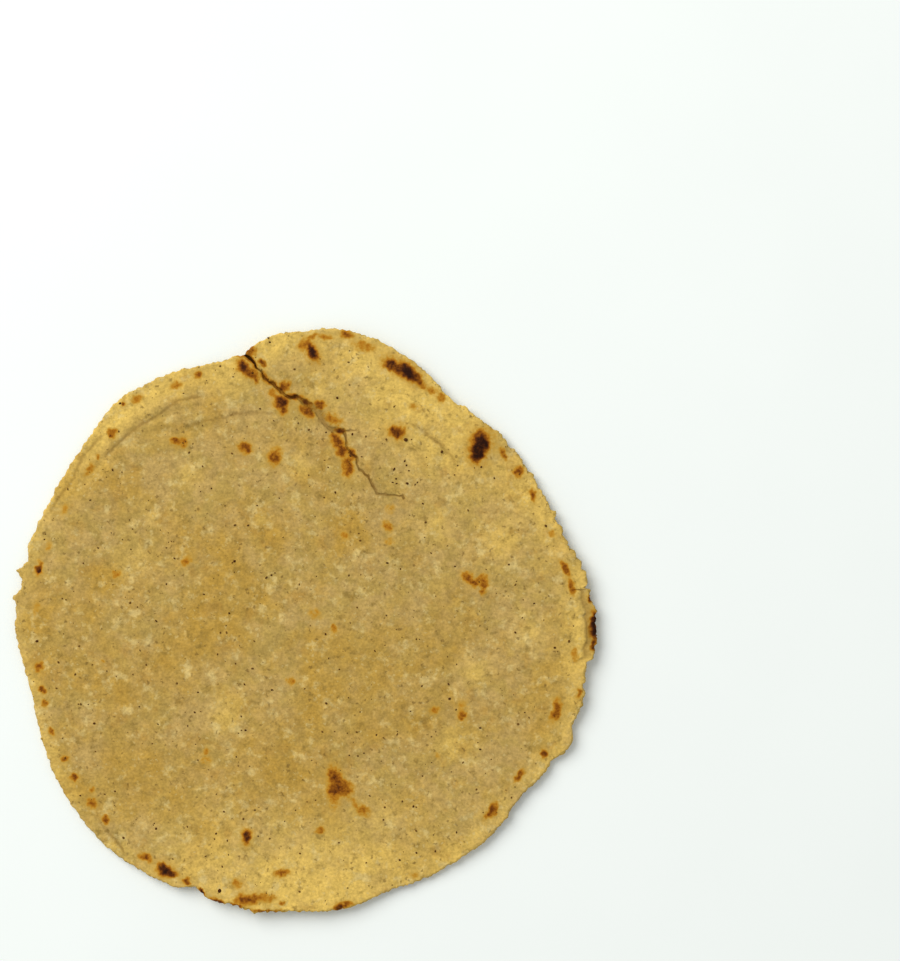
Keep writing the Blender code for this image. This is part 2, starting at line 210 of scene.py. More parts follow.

# Toasted marks of the upper face, one of them painted shadow: x, y, half length, half width, turn
# from +X, and how toasted.
MARKS = (
    # along the crack
    (-16.1, 65.8, 1.6, 1.3, -40, DARK), (-14.1, 63.7, 2.1, 1.2, -40, BROWN),
    (-12.6, 62.3, 1, 0.8, 90, ORANGE), (-14.5, 70.4, 1.5, 2, 0, BROWN),
    (-16.3, 69.3, 1.4, 0.5, -25, DARK), (-8.4, 58.8, 1.3, 0.8, -60, ORANGE),
    (-13, 68.6, 1.3, 0.7, -50, FAINT), (-3.2, 57.9, 2.2, 0.7, 0, BROWN),
    (-0.1, 56.7, 2.2, 0.7, -38, BROWN), (-11, 66.8, 1, 0.8, -60, BROWN),
    (-5.6, 60.6, 1.3, 1.6, -40, BROWN), (-6.3, 56.7, 1.7, 1.6, -80, DARK),
    (-5.8, 54.9, 1.5, 0.9, 90, BROWN), (0.1, 54.2, 2.3, 1.3, -45, BROWN),
    (3.7, 56, 1.3, 1.3, -60, BROWN), (7.2, 52.2, 2.4, 1.4, -20, ORANGE),
    (8.6, 49.2, 0.9, 0.8, 0, DARK), (7.9, 46.7, 2, 1.4, -60, BROWN),
    (9.3, 44.4, 2, 1.5, -60, BROWN), (10.9, 39.9, 2.8, 1.5, -80, BROWN),
    (11.9, 43.2, 1.8, 0.9, -60, BROWN),
    # the lobe to the right of the crack
    (1.6, 69.4, 2.4, 1.3, -65, CHAR), (-0.6, 71.7, 1.5, 1, 60, ORANGE),
    (1.6, 73, 1.6, 0.8, 25, ORANGE), (5, 73.3, 1.7, 0.6, 0, ORANGE),
    (10.7, 74, 1.6, 1.1, -20, BROWN), (14.9, 71, 2.8, 1.4, -15, ORANGE),
    (22, 66.5, 2, 1.7, -30, DARK), (26.6, 64, 3, 1.8, -38, CHAR), (24.6, 65.2, 2, 1.3, -35, BROWN),
    (29.6, 61.5, 1.8, 0.9, -42, BROWN), (32.6, 59.6, 2, 0.8, -42, ORANGE),
    (35, 57.4, 1, 1, 0, ORANGE), (27.6, 55.4, 1.3, 1.1, 0, FAINT), (23.4, 48.9, 1.8, 1.7, 0, DARK),
    # the right rim, from the top down
    (45.2, 46.2, 2.7, 2.3, 80, CHAR), (44.4, 43.4, 2.3, 1.9, 80, CHAR),
    (51.1, 43.1, 2, 0.9, -60, RUSSET), (54.6, 38.5, 1.3, 1, -15, BROWN),
    (58.5, 32.6, 1.6, 0.8, -65, BROWN), (63.5, 22.7, 1, 0.8, -60, ORANGE),
    (66.8, 13.8, 2.1, 0.8, -60, BROWN), (68.4, 9, 2.1, 0.9, -65, BROWN),
    (74.4, 0.4, 2.2, 1.1, 90, CHAR), (74.5, -2.6, 2.2, 1.1, 90, CHAR), (74, -6, 1.5, 0.6, 90, DARK),
    (73.2, 6.2, 0.9, 0.7, 90, DARK), (69.3, -8.5, 1.7, 0.8, 90, ORANGE),
    (70.1, -18.4, 1.3, 0.7, 80, BROWN), (64.5, -22.9, 3.1, 1.2, 75, BROWN),
    (61.4, -33.7, 1, 1, 0, BROWN), (55, -39.8, 1.8, 0.8, 55, BROWN),
    (47.9, -48.9, 2.6, 0.9, 58, BROWN),
    # the bottom rim, from the right to the left
    (28.1, -65.4, 1.3, 1, 0, FAINT), (10.8, -72.9, 1.6, 0.6, 20, BROWN),
    (8.4, -73.5, 1.3, 1, 0, DARK), (-1.5, -74.1, 0.5, 0.5, 0, ORANGE),
    (-6.1, -72.5, 0.8, 0.8, 0, ORANGE), (-10.2, -70.9, 2.6, 1.4, -8, ORANGE),
    # The first mark below is painted shadow: the thin dark line under the lifted bottom rim.
    (-10.3, -74.4, 4.2, 0.4, -3, BROWN), (-13.6, -71.3, 1.7, 1.2, 0, BROWN),
    (-16.2, -71.4, 2, 1.3, 0, BROWN), (-17.4, -67.3, 1.3, 1.3, 0, ORANGE),
    (-5.9, -64.8, 1.8, 1, 15, RUSSET), (-26.6, -69.6, 1.6, 0.5, -48, CHAR),
    (-22.6, -71.9, 1.6, 0.5, -22, DARK), (-17.7, -73.1, 1.8, 0.4, -10, BROWN),
    (-30.6, -66.7, 0.9, 0.9, 0, BROWN), (-34.6, -64.8, 1.3, 1, -20, DARK),
    (-36.5, -63.8, 1.7, 1.4, -20, CHAR), (-41.3, -60.9, 1.8, 0.8, -30, BROWN),
    (-51.7, -51.2, 1, 0.8, -45, BROWN),
    # the left rim, from the bottom up
    (-55.4, -46.9, 1.6, 1.3, -60, RUSSET), (-55.2, -43.1, 0.6, 0.6, 0, ORANGE),
    (-59.7, -40.3, 1.1, 1.1, 0, BROWN), (-62.3, -35.4, 1.2, 1, 0, RUSSET),
    (-65.7, -28.3, 1.3, 0.6, -60, RUSSET), (-67.2, -21.3, 1, 0.8, 90, RUSSET),
    (-68, -17.6, 1, 0.9, 0, BROWN), (-69, -11.6, 1.3, 1, 90, RUSSET),
    (-69.6, 3.3, 2, 0.9, 90, FAINT), (-68.9, 13.7, 1.6, 0.9, 75, BROWN),
    (-69, 12.8, 0.6, 0.6, 0, CHAR), (-66.8, 19.7, 1.6, 1, 70, FAINT),
    (-62.3, 29, 1.6, 1, 60, FAINT), (-55.6, 39.2, 2.1, 0.9, 50, ORANGE),
    (-53.8, 42.5, 0.6, 0.6, 0, ORANGE), (-50, 48.3, 1.1, 0.8, 40, BROWN),
    (-47.5, 56.1, 0.5, 0.5, 0, DARK), (-43.5, 57.4, 1.6, 1.2, 40, ORANGE),
    (-33.5, 61, 1.8, 1, 25, ORANGE), (-27.9, 63.8, 1, 0.9, 0, BROWN),
    # the field
    (-33.9, 46.6, 1.1, 0.9, 0, BROWN), (-32.1, 46.2, 1.8, 1.4, 0, ORANGE),
    (-15.6, 44.7, 1.8, 1.4, -10, BROWN), (-8.2, 42.5, 2.4, 1.6, 80, BROWN),
    (21.6, 29, 1.3, 1.3, 0, FAINT), (21.3, 24.4, 1.3, 1.3, 0, ORANGE),
    (21.6, 20.6, 1.3, 1, 0, FAINT), (10.1, 22, 0.9, 0.9, 0, ORANGE),
    (41.8, 11.4, 1.6, 1.1, -35, BROWN), (43.4, 10.1, 1.6, 1, -10, BROWN),
    (45.3, 11, 1.6, 1.2, 30, ORANGE), (46.1, 9.5, 1.1, 1.8, 0, RUSSET),
    (45.5, 7.8, 0.9, 0.9, 0, ORANGE), (32.9, -22.8, 1.2, 1.2, 0, ORANGE),
    (40.3, -24.3, 1, 1, 0, BROWN), (40.3, -22, 1.4, 1.6, 0, FAINT), (34, -34.7, 0.8, 0.8, 0, FAINT),
    (7.4, -42.7, 5, 1.9, 90, RUSSET), (8.6, -40.8, 3, 1.5, -50, RUSSET),
    (7.4, -43.4, 2.2, 1.5, 88, RUSSET), (9.9, -43.2, 2.5, 2.1, 0, RUSSET),
    (6.8, -39.4, 2, 1.1, 88, RUSSET), (12.4, -46.6, 1.8, 1.1, -45, FAINT),
    (14.7, -48.7, 2.2, 1.3, -40, ORANGE), (3.6, -53.9, 1.3, 1.1, 0, ORANGE),
    (-15.4, -55.5, 1.3, 1.8, 0, DARK), (-25.7, -36.1, 1.6, 1.3, 0, FAINT),
    (-25.5, -33.8, 0.8, 0.8, 0, ORANGE), (-4, -15.3, 1.2, 1.2, 0, ORANGE),
    (-30.9, 15.5, 1.6, 1.2, 70, ORANGE), (7.4, -1.7, 0.9, 0.9, 0, ORANGE),
    (2.2, 2, 1.6, 1.6, 0, FAINT), (-48.8, 12.2, 0.9, 0.9, 0, ORANGE),
    (-52.1, -10.2, 0.6, 0.6, 0, FAINT),
)
MARK_WANDER = ((3, 0.7), (1.1, 0.5))
MARK_CORE = 0.26
MARK_FADE = 0.92
# Each mark's golden halo: its share of the mark's tone, and how it fades.
HALO_SHARE = 0.36
HALO_FADE = 1.65

# Golden patches of the field: x, y, radius and strength.
GOLD_PATCHES = (
    (-51, 12, 4.5, 0.7), (-20, 19.6, 5, 0.5), (-9, 23, 6, 0.7), (-60.7, 33, 6, 0.6),
    (-68, 10, 4.5, 0.7), (-69, 0, 4.5, 0.6), (-41.8, 5.8, 6, 0.35), (11, 23, 5, 0.6),
    (-36, -13, 8, 0.8), (-51, -19, 7, 0.5), (-34.6, -45.7, 7, 0.5), (-24.6, -53.8, 7, 0.6),
    (-19.6, -42.3, 8, 0.5), (-14.6, -35.9, 8, 0.5), (-66, -16, 5, 0.7), (-63, -30, 6, 0.7),
    (-57, -43, 6, 0.5), (18.4, -25, 9, 0.5), (1.4, -21, 8, 0.4), (34.7, 51, 7, 0.4),
    (63, 22, 5, 0.5), (-10, 5, 9, 0.35), (-25, -3, 12, 0.85), (-8, -37, 14, 0.9),
    (-44, -39, 11, 0.9),
)

# The paler rim: angle, half width, strength, and how far in it reaches. It is gone at this share
# of its reach.
PALE_END = 1.15
PALE_RIM = (
    (64, 26, 1.1, 26), (100, 12, 1.25, 12), (128, 18, 1.1, 10), (160, 15, 0.55, 4),
    (200, 25, 0.6, 4.5), (235, 14, 0.6, 5), (272, 28, 1.1, 28), (305, 16, 0.75, 9),
    (335, 14, 0.7, 7), (0, 20, 0.8, 9), (35, 24, 0.8, 12),
)
# Pale spots of undercooked dough: x, y, radius.
PALE_SPOTS = (
    (-39.8, 26.3, 2), (-11.5, 26.3, 1.5), (3.5, 59.5, 1.8), (26, 46, 2.6), (33, 26, 5),
    (44, -13, 3.6), (38, -32, 4.5), (58, -3, 4), (63, -31, 2.2), (-20, -24, 5), (-30, 38, 3),
    (-44, 16, 4), (20, -52, 5), (50, 22, 6), (-2, 40, 3),
)
PALE_SPOT_STRENGTH = 0.6

# The larger hull flecks: x, y, half length and turn. The rest are scattered.
LARGE_FLECKS = (
    (22.8, 39.3, 0.5, 70), (25.5, 41.4, 0.36, 60), (26, 40.3, 0.34, 50), (26.6, 38.9, 0.32, 0),
    (23.3, 36.8, 0.34, 0), (22.4, 35.9, 0.34, 0), (23.4, 35.6, 0.38, 30), (26.2, 35.6, 0.44, -30),
    (28.2, 35.3, 0.32, 60), (28.8, 35.9, 0.34, 50), (14.4, 42.5, 0.34, 0), (12, 48.3, 0.42, 80),
    (7.6, 33.3, 0.4, -75), (9.2, 28, 0.2, 0), (30.2, 30.4, 0.34, -20), (21, 15.1, 0.42, 0),
    (-10.2, 11.3, 0.45, 40), (-14.9, 24.8, 0.36, 30), (5.1, -3.3, 0.4, -65), (-8.8, -17.7, 0.34, 0),
    (-15.6, -28.1, 0.34, 0), (-26.3, 7, 0.34, -20), (20.8, 1.6, 0.26, 0), (52.4, 14.7, 0.34, 0),
    (38.5, 14.2, 0.3, 0), (37.1, -20, 0.4, 20), (45, -27.5, 0.4, 0), (45, -33, 0.4, -15),
    (58.9, 4.7, 0.34, 20), (64.2, -6.7, 0.4, 0), (-27.9, -35.8, 0.3, 0), (8.1, 57.7, 0.4, -65),
    (25.8, 46.9, 0.6, -25), (35.1, 43.8, 0.45, 60), (11.3, 61, 0.26, 0), (11.3, 69.8, 0.24, 0),
    (-69.4, -5.1, 0.5, 15), (-18.7, 63.1, 0.3, 0), (-31.6, 58.9, 0.3, 20), (-11.8, 54.9, 0.3, 0),
    (-61.9, 5.6, 0.26, 0), (-48, 56.3, 0.4, 20), (-22.1, -69.2, 0.6, 70), (-9.6, 73.1, 0.3, -60),
    (-9.2, 72, 0.3, 0), (-58.3, -45, 0.3, 0), (15, -34, 0.3, 0), (22.3, -68, 0.2, 0),
    (56.5, -23.5, 0.25, 0), (57.6, -24.8, 0.3, -70), (-8, 12.5, 0.25, 0), (33.5, -28.5, 0.25, 70),
    (32.4, -29.8, 0.28, 20), (46.8, -2, 0.2, 0), (-43, -22, 0.25, 0), (-36, 19, 0.28, 0),
)

# The underside's own marks are scattered: how many, how far out and how closely they keep to the
# rim, then their half lengths, shares of width and tones. It is a little golden and pale all over.
UNDER_SEED = 7
UNDER_MARKS = 64
UNDER_MARK_REACH = 0.96
UNDER_MARK_SPREAD = (0.1, 1.0)
UNDER_MARK_CROWDING = 0.55
UNDER_MARK_LENGTHS = (0.7, 2.6)
UNDER_MARK_WIDTHS = (0.5, 0.95)
UNDER_MARK_TONES = (FAINT, ORANGE, ORANGE, BROWN, BROWN, DARK)
UNDER_GOLD = 0.3
UNDER_PALE = 0.6
# The levels of the wall between which the underside's looks give way to the upper face's.
UPPER_FROM = 0.1
UPPER_TO = 0.6

# The mesh: rings of its two six-sided fans, and how long its edges may be before they are halved.
FAN_SIDES = 6
SECTOR_SLACK = 1e-6
UPPER_RINGS = 112
UNDER_RINGS = 56
REFINE_PASSES = 4
RIM_EDGE = 0.0062
RIM_BAND = 1.6
FIELD_EDGE = 1.1
UNDER_EDGE = 2.2
MARK_EDGE = 0.45
CRACK_EDGE = 0.22
CRACK_BAND = 0.7
MARK_BAND = 0.7
WALL_ROWS = 3
MOST_TRIANGLES = 199000
OUTLINE_STEPS = 3600


def in_mm(name):
    """One of the round's sizes, in millimetres."""
    return getattr(bpy.context.scene.tortilla_round, name) / MM


def turn_between(angles, centre):
    """Signed degrees from a centre angle, from -180 to 180."""
    return (angles - centre + FULL_TURN / 2) % FULL_TURN - FULL_TURN / 2


def bump(distances, half_width):
    return np.exp(-((distances / half_width) ** 2))


def spot_bump(x, y, centre_x, centre_y, radius):
    return bump(np.hypot(x - centre_x, y - centre_y), radius)


def angle_bump(angles, centre, half_width):
    return bump(turn_between(angles, centre), half_width)


def ease(values):
    """0 below 0, 1 above 1 and a smooth step between."""
    t = np.clip(values, 0.0, 1.0)
    return t * t * (3.0 - 2.0 * t)


def rough(x, y, size, layer):
    """Smooth random values about nought, as large across as size."""
    return np.array([noise.noise((a / size, b / size, layer)) for a, b in zip(x, y)])


def rough_sum(x, y, sizes, layer):
    total = np.zeros_like(x)
    for count, (size, height) in enumerate(sizes):
        total += height * rough(x, y, size, layer + count)
    return total


def wandering(x, y, layer):
    """Places moved a little, so that a route drawn on them wavers as a tear does."""
    size, reach = CRACK_WANDER
    return x + reach * rough(x, y, size, layer), y + reach * rough(x, y, size, layer + 1.0)


def from_route(x, y, route):
    """Distance to a route, length along it, and side: positive on the right of its direction."""
    nearest = np.full_like(x, np.inf)
    along = np.zeros_like(x)
    side = np.zeros_like(x)
    travelled = 0.0
    for (x0, y0), (x1, y1) in zip(route, route[1:]):
        run_x, run_y = x1 - x0, y1 - y0
        length = math.hypot(run_x, run_y)
        t = np.clip(((x - x0) * run_x + (y - y0) * run_y) / length ** 2, 0.0, 1.0)
        distance = np.hypot(x - x0 - t * run_x, y - y0 - t * run_y)
        closer = distance < nearest
        nearest = np.where(closer, distance, nearest)
        along = np.where(closer, travelled + t * length, along)
        turned = (y - y0) * run_x - (x - x0) * run_y
        side = np.where(closer, np.sign(turned), side)
        travelled += length
    return nearest, along, side


def ledge_share(angles):
    """1 along the ledge and 0 elsewhere, with short ends."""
    from_start = turn_between(angles, LEDGE_START)
    from_end = turn_between(angles, LEDGE_END)
    return ease(from_start / LEDGE_START_TAPER) * ease(-from_end / LEDGE_END_TAPER)


def swell_radius(angles):
    """Radius of the smooth outline that the ragged one follows."""
    radius = np.full_like(angles, in_mm("mean_radius"))
    for *place, height in RIM_SWELLS:
        radius += height * angle_bump(angles, *place)
    return radius


def raggedness(angles):
    """Share of the fine raggedness that the rim has, from nearly smooth to 1."""
    share = np.full_like(angles, LEAST_RAGGED)
    for place in RAGGED_STRETCHES:
        share = np.maximum(share, angle_bump(angles, *place))
    return share


def rim_detail(angles):
    """How far the ragged rim and its ledge stand out from the smooth outline."""
    torn_back = LEDGE_TORN_BACK * ease(turn_between(angles, LEDGE_TORN_FROM) / LEDGE_TORN_OVER)
    detail = (LEDGE_REACH - torn_back) * ledge_share(angles)
    for *place, height in RIM_NIBS:
        detail += height * angle_bump(angles, *place)
    for count, height in RIM_ROUGHNESS:
        detail += raggedness(angles) * height * np.sin(np.radians(angles) * count + count)
    return detail


def rim_radius(angles):
    return swell_radius(angles) + rim_detail(angles)


def rim_lift(angles, shares):
    """Height of the underside: nought in the middle, rising in lobes to the rim."""
    lobes = np.zeros_like(angles)
    for *place, height in RIM_LIFTS:
        lobes = np.maximum(lobes, height * angle_bump(angles, *place))
    rise = np.clip((shares - FLAT_SHARE) / (1.0 - FLAT_SHARE), 0.0, 1.0)
    return lobes * rise ** 2 * bpy.context.scene.tortilla_round.rim_lift


def blisters(x, y):
    total = np.zeros_like(x)
    for *place, height in BLISTERS:
        total += height * spot_bump(x, y, *place)
    return total


def valleys(angles, shares):
    total = np.zeros_like(angles)
    for start, end, start_share, end_share, depth in VALLEYS:
        along = (angles - start) / (end - start)
        inside = ease(along / VALLEY_FADE) * ease((1.0 - along) / VALLEY_FADE)
        line = start_share + (end_share - start_share) * np.clip(along, 0.0, 1.0)
        total -= depth * inside * bump((shares - line) * in_mm("mean_radius"), VALLEY_HALF_WIDTH)
    return total


def crease_lines(x, y):
    """How far each place is into a fine crease, from 0 to 1 in the darkest."""
    wander_x, wander_y = wandering(x, y, CREASE_LAYER)
    size, mean, swing = CREASE_BREAKS
    broken = mean + swing * rough(x, y, size, CREASE_LAYER + 2.0)
    total = np.zeros_like(x)
    for darkness, route in CREASE_LINES:
        distance, along, _ = from_route(wander_x, wander_y, route)
        length = sum(math.dist(a, b) for a, b in zip(route, route[1:]))
        ends = ease(along / CREASE_ENDS) * ease((length - along) / CREASE_ENDS)
        total = np.maximum(total, darkness * ends * broken * bump(distance, CREASE_HALF_WIDTH))
    return total


def crack(x, y):
    """Depth of the crack at each place, painted shade of its walls, and how toasted its banks are.
    """
    settings = bpy.context.scene.tortilla_round
    wander_x, wander_y = wandering(x, y, CRACK_LAYER)
    size, swing = CRACK_WIDENING
    widen = 1.0 + swing * rough(x, y, size, CRACK_LAYER + 2.0)
    distance, along, _ = from_route(wander_x, wander_y, CRACK_ROUTE)
    singed = SINGED_TONE * bump(distance, SINGED_HALF_WIDTH) * ease(2.0 - along / SINGED_LENGTH)
    size, mean, swing = SINGED_BREAKS
    singed *= ease(mean + swing * rough(x, y, size, CRACK_LAYER + 3.0))
    deepest = np.zeros_like(x)
    darkest = np.zeros_like(x)
    for route, profile in ((CRACK_ROUTE, CRACK_PROFILE), (SIDE_CRACK_ROUTE, SIDE_CRACK_PROFILE)):
        distance, along, _ = from_route(wander_x, wander_y, route)
        stations, half_widths, depths, darknesses = np.array(profile).T
        half_width = np.interp(along, stations, half_widths) * widen * settings.crack_width
        into = np.clip(1.0 - distance / half_width, 0.0, 1.0)
        slope = ease(into * CRACK_STEEPNESS)
        depth = np.interp(along, stations, depths) * settings.crack_depth * slope
        deepest = np.maximum(deepest, depth)
        shading = ease(CRACK_SHADE_REACH - distance / half_width)
        darkest = np.maximum(darkest, np.interp(along, stations, darknesses) * shading)
    return deepest, darkest, singed


def crack_lobe(x, y):
    """Rise of the lobe on the far side of the crack, steep at the crack and fading from it."""
    distance, along, side = from_route(x, y, CRACK_ROUTE)
    fading = ease(1.0 - along / LOBE_LENGTH) * ease(1.0 - distance / LOBE_WIDTH)
    step = 0.5 + 0.5 * np.clip(side * distance / LOBE_EDGE, -1.0, 1.0)
    return LOBE_RISE * fading * step


def toasting(x, y, marks):
    """How toasted each place is: full inside its mark, fading past it, with uneven borders."""
    wander_x = x + rough_sum(x, y, MARK_WANDER, MARK_LAYERS[0])
    wander_y = y + rough_sum(x, y, MARK_WANDER, MARK_LAYERS[1])
    total = np.zeros_like(x)
    for centre_x, centre_y, half_length, half_width, turn, tone in marks:
        cosine, sine = math.cos(math.radians(turn)), math.sin(math.radians(turn))
        run_x, run_y = wander_x - centre_x, wander_y - centre_y
        along = (run_x * cosine + run_y * sine) / half_length
        across = (run_y * cosine - run_x * sine) / half_width
        outside = np.maximum(np.hypot(along, across) - MARK_CORE, 0.0)
        strength = np.maximum(bump(outside, MARK_FADE), HALO_SHARE * bump(outside, HALO_FADE))
        total = np.cbrt(total ** 3 + (tone * strength) ** 3)
    return np.minimum(total, 1.0) * bpy.context.scene.tortilla_round.toasting


def golden(x, y):
    total = np.zeros_like(x)
    for *place, strength in GOLD_PATCHES:
        total = np.maximum(total, strength * spot_bump(x, y, *place))
    return total


def pale(x, y, angles, from_swell):
    """Paleness of the rim and of the undercooked spots, with clouded borders."""
    total = np.zeros_like(x)
    for *place, strength, reach in PALE_RIM:
        band = ease(PALE_END - from_swell / reach)
        total = np.maximum(total, strength * band * angle_bump(angles, *place))
    for place in PALE_SPOTS:
        total = np.maximum(total, PALE_SPOT_STRENGTH * spot_bump(x, y, *place))
    return total


def at(angle, distance):
    """Plan position at an angle, in radians, and distance from the round's middle."""
    x, y = ROUND_CENTRE
    return x + distance * math.cos(angle), y + distance * math.sin(angle)


def underside_marks():
    """Toasted marks of the underside, scattered by a seeded rule: more of them near the rim."""
    draw = random.Random(UNDER_SEED)
    marks = []
    for _ in range(UNDER_MARKS):
        angle = draw.uniform(0.0, math.tau)
        spread = draw.uniform(*UNDER_MARK_SPREAD) ** UNDER_MARK_CROWDING
        distance = in_mm("mean_radius") * spread * UNDER_MARK_REACH
        half_length = draw.uniform(*UNDER_MARK_LENGTHS)
        half_width = half_length * draw.uniform(*UNDER_MARK_WIDTHS)
        turn, tone = draw.uniform(0.0, FULL_TURN), draw.choice(UNDER_MARK_TONES)
        marks.append((*at(angle, distance), half_length, half_width, turn, tone))
    return marks


def frame_shift():
    """What centres the rim's outline on the CAD node's box, in millimetres."""
    low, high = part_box(NODE)
    angles = np.linspace(0.0, FULL_TURN, OUTLINE_STEPS, endpoint=False)
    x, y = on_plan(angles, rim_radius(angles))
    shift_x = (low.x + high.x) / 2 / MM - (x.min() + x.max()) / 2
    shift_y = (low.y + high.y) / 2 / MM - (y.min() + y.max()) / 2
    return np.array((shift_x, shift_y, low.z / MM))


def on_plan(angles, reach):
    """Plan position at an angle and distance from the round's middle."""
    x = ROUND_CENTRE[0] + reach * np.cos(np.radians(angles))
    y = ROUND_CENTRE[1] + reach * np.sin(np.radians(angles))
    return x, y


def from_middle(x, y):
    """Angle and distance of a plan position from the round's middle."""
    run_x, run_y = x - ROUND_CENTRE[0], y - ROUND_CENTRE[1]
    return np.degrees(np.arctan2(run_y, run_x)) % FULL_TURN, np.hypot(run_x, run_y)


def stretched(unit_x, unit_y, rounding=0.0):
    """Angle, share of the radius and distance from the middle of points of the unit disc."""
    shares = np.hypot(unit_x, unit_y)
    angles = np.degrees(np.arctan2(unit_y, unit_x)) % FULL_TURN
    ragged = ease((shares - RAGGED_FROM) / (1.0 - RAGGED_FROM))
    reach = shares * (swell_radius(angles) - rounding) + ragged * rim_detail(angles)
    return angles, shares, reach


def unit_on_plan(unit_x, unit_y):
    """Plan position of points of the unit disc."""
    angles, _, reach = stretched(unit_x, unit_y)
    return on_plan(angles, reach)


def placed(angles, reach, level):
    """Points of the round at an angle and distance from its middle, on either face or between:
    level 0 is the underside and 1 the upper face. Also what the dough's colour depends on there.
    """
    x, y = on_plan(angles, reach)
    smooth_radius = swell_radius(angles)
    from_rim = smooth_radius + rim_detail(angles) - reach
    from_swell = smooth_radius - reach
    thinning = ease(1.0 - from_swell / RIM_TAPER)
    thickness = in_mm("thickness") + (in_mm("rim_thickness") - in_mm("thickness")) * thinning
    on_ledge = ledge_share(angles) * ease((LEDGE_REACH - from_rim) / LEDGE_STEP_WIDTH + 1.0)
    shares = reach / smooth_radius
    cut, cut_shade, singed = crack(x, y)
    creased = crease_lines(x, y)
    relief = rough_sum(x, y, WAVES, WAVE_LAYER) * (1.0 - WAVE_LOSS_AT_RIM * thinning)
    relief += blisters(x, y) + valleys(angles, shares) + crack_lobe(x, y) - LEDGE_DROP * on_ledge
    relief += rough_sum(x, y, GRAIN, GRAIN_LAYER) * bpy.context.scene.tortilla_round.grain
    relief -= CREASE_DEPTH * creased + cut
    dimples = np.abs(rough_sum(x, y, DIMPLES, DIMPLE_LAYER))
    upper = np.maximum(thickness + relief, THINNEST)
    z = rim_lift(angles, shares) + (1.0 - level) * dimples + level * upper

    upper_toast = np.maximum(toasting(x, y, MARKS), singed)
    under_toast = toasting(x, y, underside_marks())
    is_upper = ease((level - UPPER_FROM) / (UPPER_TO - UPPER_FROM))
    ledge_shade = LEDGE_SHADE * on_ledge * ease(from_rim / LEDGE_REACH)
    # The crease attribute is painted shade of the crack, the creases and the ledge's step.
    dark = np.maximum(np.maximum(creased, cut_shade), ledge_shade)
    colouring = {
        "toast": under_toast + (upper_toast - under_toast) * is_upper,
        "gold": golden(x, y) * is_upper + UNDER_GOLD * (1.0 - is_upper),
        "pale": pale(x, y, angles, from_swell) * (UNDER_PALE + (1.0 - UNDER_PALE) * is_upper),
        "crease": dark * is_upper,
    }
    return np.column_stack((x, y, z)) + frame_shift(), colouring


def shaped(unit):
    """Turns points of the unit slab, of radius 1 and height 1, into those of the round."""
    unit_x, unit_y, level = unit.T
    rounding = RIM_ROUNDING * (2.0 * level - 1.0) ** 2
    angles, shares, reach = stretched(unit_x, unit_y, rounding)
    x, y = on_plan(angles, reach)
    crumbled = ease((shares - 1.0 + CRUMBLE_BAND) / CRUMBLE_BAND)
    crumbled *= LEAST_CRUMBLED + (1.0 - LEAST_CRUMBLED) * raggedness(angles)
    reach += crumbled * rough_sum(x, y + CRUMBLE_SLANT * level, RIM_CRUMBLE, CRUMBLE_LAYER)
    return placed(angles, reach, level)


def on_face(x, y, level):
    """Points of the upper face, level 1, or the underside, level 0, at plan positions."""
    angles, reach = from_middle(x, y)
    return placed(angles, np.minimum(reach, rim_radius(angles)), np.full_like(x, level))


def round_from_hexagon(point):
    """Moves a point of the unit hexagon to the unit disc: its ring stays, its sides become arcs."""
    sector_width = math.tau / FAN_SIDES
    angle = math.atan2(point.y, point.x) - math.pi / 2
    sector = math.floor(angle / sector_width + SECTOR_SLACK)
    within = angle - (sector + 0.5) * sector_width
    half_chord = math.tan(sector_width / 2)
    distance = math.hypot(point.x, point.y)
    ring = distance * math.cos(within) / math.cos(sector_width / 2)
    place = (math.tan(within) / half_chord + 1.0) / 2.0
    turned = (sector + place) * sector_width + math.pi / 2
    point.x = ring * math.cos(turned)
    point.y = ring * math.sin(turned)


def longest_edges(x, y, level):
    """How long edges may be, in millimetres: short at the rim, the crack and the marks."""
    angles, reach = from_middle(x, y)
    longest = np.full_like(x, FIELD_EDGE if level else UNDER_EDGE)
    longest = np.where(rim_radius(angles) - reach < RIM_BAND, MARK_EDGE, longest)
    if level:
        for centre_x, centre_y, half_length, half_width, _, _ in MARKS:
            near = np.hypot(x - centre_x, y - centre_y) < half_length + half_width * MARK_BAND
            longest = np.where(near, MARK_EDGE, longest)
        for _, route in CREASE_LINES:
            distance, _, _ = from_route(x, y, route)
            longest = np.where(distance < CRACK_BAND, MARK_EDGE, longest)
        for route in (CRACK_ROUTE, SIDE_CRACK_ROUTE):
            distance, _, _ = from_route(x, y, route)
            longest = np.where(distance < CRACK_BAND, CRACK_EDGE, longest)
    return longest


def refine(bm, level):
    """Halves edges that are too long, and keeps the rim round. The rim's own edges go by a rule
    that is the same at both levels, so that both faces end on as many points."""
    for _ in range(REFINE_PASSES):
        edges = [e for e in bm.edges if e.verts[0].co.z == level and e.verts[1].co.z == level]
        ends = np.array([(*e.verts[0].co.xy, *e.verts[1].co.xy) for e in edges])
        border = np.array([e.is_boundary for e in edges])
        unit_length = np.hypot(ends[:, 0] - ends[:, 2], ends[:, 1] - ends[:, 3])
        x0, y0 = unit_on_plan(ends[:, 0], ends[:, 1])
        x1, y1 = unit_on_plan(ends[:, 2], ends[:, 3])
        length = np.hypot(x1 - x0, y1 - y0)
        too_long = length > longest_edges((x0 + x1) / 2, (y0 + y1) / 2, level)
        too_long = np.where(border, unit_length > RIM_EDGE, too_long)
        long_edges = [e for e, long in zip(edges, too_long) if long]
        bmesh.ops.subdivide_edges(bm, edges=long_edges, cuts=1)
        bmesh.ops.triangulate(bm, faces=[f for f in bm.faces if len(f.verts) > 3])
        for vert in bm.verts:
            if vert.is_boundary:
                reach = math.hypot(vert.co.x, vert.co.y)
                vert.co.x /= reach
                vert.co.y /= reach


